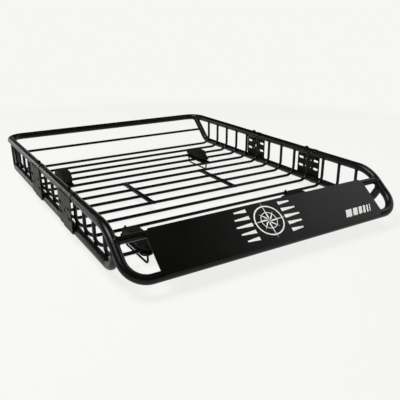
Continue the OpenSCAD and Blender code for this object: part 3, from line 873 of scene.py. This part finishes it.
def clampBrackets():
    # pressed sheet: for every place along the basket a section like an upside-down U, whose half width and
    # height follow the ears, the slopes and the raised middle; the inner skin lies one sheet inside
    sheet, top, foot, ear = (bracket[key] for key in ("sheet", "top", "foot", "ear"))
    near, tip = bracket["near"], legY
    halfWidth = (clampHigh[0, 0] - clampLow[0, 0]) / 2
    sparse, close, endRows = (bracket[key] for key in ("sparseRows", "closeRows", "endRows"))
    y = np.concatenate([np.linspace(0, top - near - 1, sparse),
                        np.linspace(top - near, top + near, close),
                        np.linspace(top + near + 2, foot - near - 2, sparse),
                        np.linspace(foot - near, foot + near, close),
                        np.linspace(foot + near + 1, tip - 1, sparse),
                        tip + ear * np.sin(np.linspace(0, math.pi / 2, endRows))])
    y = np.concatenate([-y[::-1], y[1:]])
    reach = np.abs(y)
    rise = (bracket["height"] - sheet) / (foot - top)
    ramp = sheet + (foot - reach) * rise
    outer = softClamp(ramp, sheet, bracket["height"], bracket["soft"])
    outer = np.maximum(outer, sheet)
    inner = softClamp(ramp - sheet * math.hypot(1, rise), 0, bracket["height"] - sheet, bracket["soft"])
    inner = np.where(reach > foot + bracket["flatFrom"], 0, inner - bracket["innerDrop"])
    inner = np.maximum(inner, 0)
    toEar = (reach - foot) / (tip - foot)
    width = np.where(reach <= foot, halfWidth, halfWidth + (ear - halfWidth) * toEar)
    width = np.where(reach > tip, np.sqrt(np.maximum(ear ** 2 - (reach - tip) ** 2, 0)), width)
    innerWidth = np.maximum(width - sheet, 0)
    share = bracket["foldShare"]
    fold = np.minimum(np.minimum(bracket["fold"], share * outer), width)
    innerFold = np.minimum(np.minimum(bracket["innerFold"], share * inner), innerWidth)
    outerX, outerZ = foldedSkin(width, outer, fold)
    innerX, innerZ = foldedSkin(innerWidth, inner, innerFold)
    x = np.concatenate([outerX, innerX[:, ::-1]], 1)
    z = np.concatenate([outerZ, innerZ[:, ::-1]], 1)
    section = np.stack([x, np.broadcast_to(y[:, None], x.shape), z], -1)
    return clampPlaces(seatZ)[:, None, None] + section[None], False, True


addPiece("clampBrackets", [clampBrackets()], coats["clamp_coat"], sharp=40,
         replaced=[c + "_clamp_bracket" for c in clamps])

rolledEdge = {
    "round": 1.0,  # mm from the edge, where its rounding starts
    "middle": 0.3,  # mm from both faces, the rounding's middle point
    "columns": 25,  # round each end
}


def clampPlates():
    # flat bar with half-round ends and rolled edges: rings that step inwards from the outline, each a
    # half circle about either end of the middle line, closed along that line on both faces
    low, high = cornersMm("rear_left_clamp_plate")
    half, halfLength, thick = (high - low) * (0.5, 0.5, 1)
    whole, part = rolledEdge["round"], rolledEdge["middle"]
    rows = [(half, 0), (whole, 0), (part, part), (0, whole), (0, thick - whole),
            (part, thick - part), (whole, thick), (half, thick)]
    turn = np.linspace(0, math.pi, rolledEdge["columns"])
    angle = np.concatenate([turn, turn + math.pi])
    ends = np.repeat([halfLength - half, half - halfLength], len(turn))
    ring = np.stack([np.stack([(half - inset) * np.cos(angle), ends + (half - inset) * np.sin(angle),
                               np.full_like(angle, height)], -1) for inset, height in rows])
    return clampPlaces(low[2])[:, None, None] + ring[None], False, True


addPiece("clampPlates", [clampPlates()], coats["clamp_coat"], sharp=40,
         replaced=[c + "_clamp_plate" for c in clamps])

# all in mm, across the sheet and down the slope from its start
inkFilm = {"thick": 0.12, "sunk": 0.4}
star = {
    "middle": (-24.0, 93.0), "points": 8, "long": 58.0, "short": 35.0, "notch": 12.0, "hub": 1.2,
    "rings": ((43.0, 47.0), (24.0, 26.0)),  # inner and outer radius
    "ringSides": 96,
    "ringFilm": 0.8,  # share of the film's height, so that rings and points don't share a plane
}
wings = {
    "gap": 56.0, "inner": 11.0, "outer": 4.4,  # off the middle, and width of a bar at either end
    "bars": ((-44, 40), (-22, 48), (0, 52), (22, 48), (44, 40)),  # off the middle, and length
}
dashes = {
    "from": 236.0, "upper": 123.0, "lower": 146.0, "lean": 13.0, "gap": 6.0,
    "widths": (24, 18, 13, 9, 6, 3.5),
}
panelLow, panelHigh = cornersMm("fairing_panel")
panelMiddle = (panelLow + panelHigh) / 2
_, boxLength, boxHeight = panelHigh - panelLow
# a leaning sheet's thickness from its box: (height - length x tan) / (cos - sin x tan)
sheetThick = (boxHeight - boxLength * math.tan(slopeAngle)) / (
    math.cos(slopeAngle) - math.sin(slopeAngle) * math.tan(slopeAngle))


def onSheet(flat, lift):
    # slopeStart + across x the x axis + down x the slope's direction + (face + lift) x its normal, where
    # face is how far the sheet's upper face lies from the slope's start
    face = (panelMiddle - slopeStart) @ slopeOut + sheetThick / 2
    across, down = flat[..., :1], flat[..., 1:2]
    return slopeStart + across * xAxis + down * slopeDown + (face + lift) * slopeOut


def printed(outlines):
    # a thin film: the outline shrunk to its middle on top, the outline, and both again below the face
    middle = np.broadcast_to(outlines.mean(1, keepdims=True), outlines.shape)
    rows = [onSheet(middle, inkFilm["thick"]), onSheet(outlines, inkFilm["thick"]),
            onSheet(outlines, -inkFilm["sunk"]), onSheet(middle, -inkFilm["sunk"])]
    return np.stack(rows, 1), False, True


def fairingPrint():
    # half of each point of an eight-pointed star (hub, tip, notch), two rings round it as circles of their
    # inner and outer radius, tapered bars like wings, and dashes that lean
    middle = np.array(star["middle"])
    point = np.arange(star["points"])
    turn = point * 2 * math.pi / star["points"]
    tips = np.where(point % 2 == 0, star["long"], star["short"])
    toTip = np.stack([np.sin(turn), -np.cos(turn)], -1)
    between = turn + math.pi / star["points"]
    toNotch = np.stack([np.sin(between), -np.cos(between)], -1)
    points = np.stack([middle + star["hub"] * toTip, middle + tips[:, None] * toTip,
                       middle + star["notch"] * toNotch], 1)
    shells = [printed(points)]
    angle = np.linspace(0, 2 * math.pi, star["ringSides"], endpoint=False)
    circle = np.stack([np.cos(angle), np.sin(angle)], -1)
    upper, lower = star["ringFilm"] * inkFilm["thick"], -star["ringFilm"] * inkFilm["sunk"]
    for inner, outer in star["rings"]:
        rows = [(inner, upper), (outer, upper), (outer, lower), (inner, lower)]
        ring = np.stack([onSheet(middle + radius * circle, lift) for radius, lift in rows])
        shells.append((ring[None], True, True))
    bars = []
    for off, length in wings["bars"]:
        for hand in (-1, 1):
            inside, outside = wings["gap"] * hand, (wings["gap"] + length) * hand
            high, thin = wings["inner"] / 2, wings["outer"] / 2
            outline = [(inside, off - high), (outside, off - thin),
                       (outside, off + thin), (inside, off + high)]
            bars.append(middle + outline)
    shells.append(printed(np.array(bars)))
    left, leaning = dashes["from"], []
    upper, lower, lean = dashes["upper"], dashes["lower"], dashes["lean"]
    for width in dashes["widths"]:
        leaning.append([(left + lean, upper), (left + width + lean, upper),
                        (left + width, lower), (left, lower)])
        left += width + dashes["gap"]
    shells.append(printed(np.array(leaning, float)))
    return shells


addPiece("fairingPrint", fairingPrint(), printedInk)
print("pieces added")
